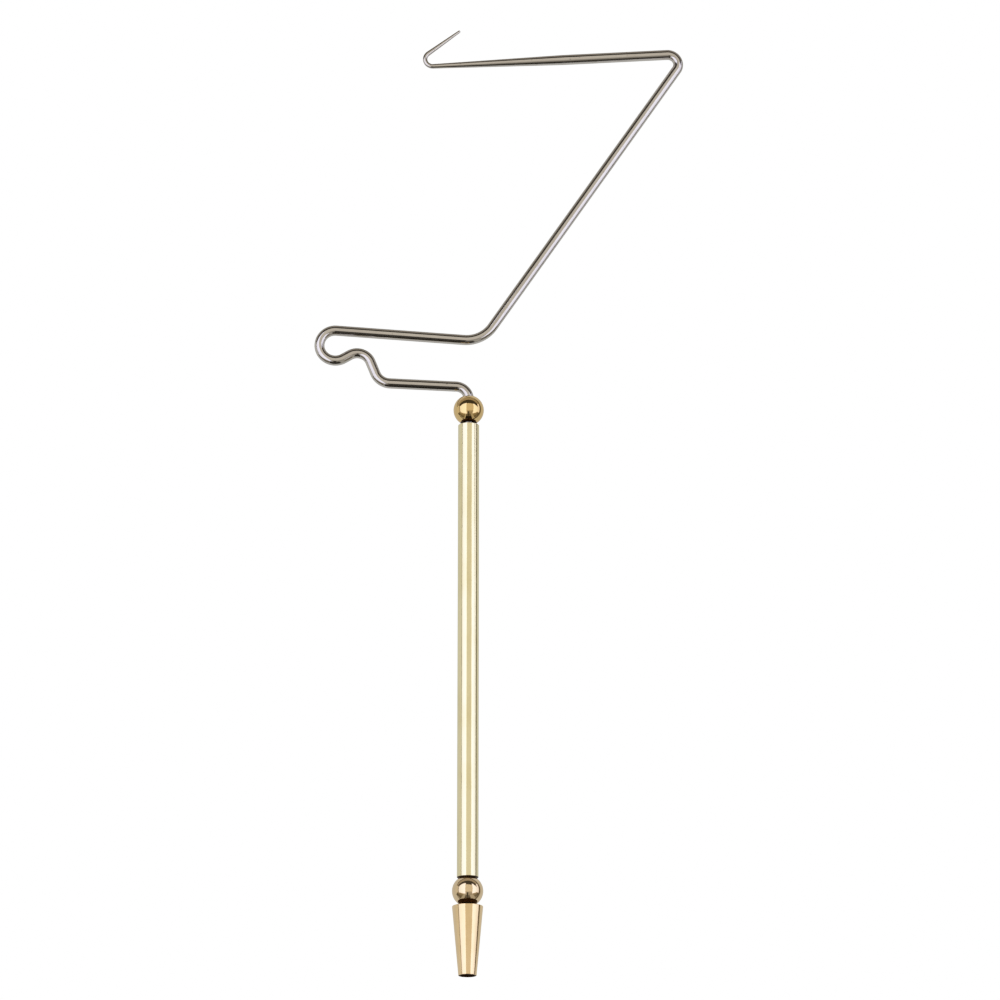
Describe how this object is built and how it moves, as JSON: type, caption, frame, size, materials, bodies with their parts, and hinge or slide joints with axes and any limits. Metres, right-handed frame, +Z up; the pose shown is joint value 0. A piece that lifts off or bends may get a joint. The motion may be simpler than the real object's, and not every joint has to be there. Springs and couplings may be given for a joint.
{
  "type": "fly-tying whip finisher",
  "caption": "Bent steel wire frame with a fine ground hook, turning in a slim brass tube handle between drilled brass balls, with a hollow half-hitch cone at the tail.",
  "frame": {"origin": "on the handle's axis at the centre of the half-hitch cone's mouth, one ball radius above the bench that the tool lies on", "axes": "+Y along the handle from the cone's mouth towards the hook, +Z up from the bench, +X to the side that the diagonal leans to"},
  "size_m": [0.0778, 0.2039, 0.0064],
  "materials": {
    "steel_wire": "drawn stainless wire, satin, ground bright at the hook",
    "tube_brass": "polished pale yellow brass with fine lines along the tube",
    "ball_brass": "polished golden brass",
    "cone_brass": "fine turned brass",
    "bush_brass": "turned brass"
  },
  "bodies": {
    "handle": {"handle_tube": "tube_brass", "upper_bush": "bush_brass", "lower_bush": "bush_brass"},
    "frame": {"wire_frame": "steel_wire", "half_hitch_cone": "cone_brass"},
    "upper_ball": {"upper_ball": "ball_brass"},
    "lower_ball": {"lower_ball": "ball_brass"}
  },
  "joints": [
    {"name": "frame_spin", "type": "hinge", "parent": "handle", "child": "frame", "pos_m": [0, 0, 0], "axis": [0, 1, 0], "continuous": true},
    {"name": "upper_ball_spin", "type": "hinge", "parent": "frame", "child": "upper_ball", "pos_m": [0, 0.1188, 0], "axis": [0, 1, 0], "continuous": true},
    {"name": "lower_ball_spin", "type": "hinge", "parent": "frame", "child": "lower_ball", "pos_m": [0, 0.0172, 0], "axis": [0, 1, 0], "continuous": true}
  ]
}
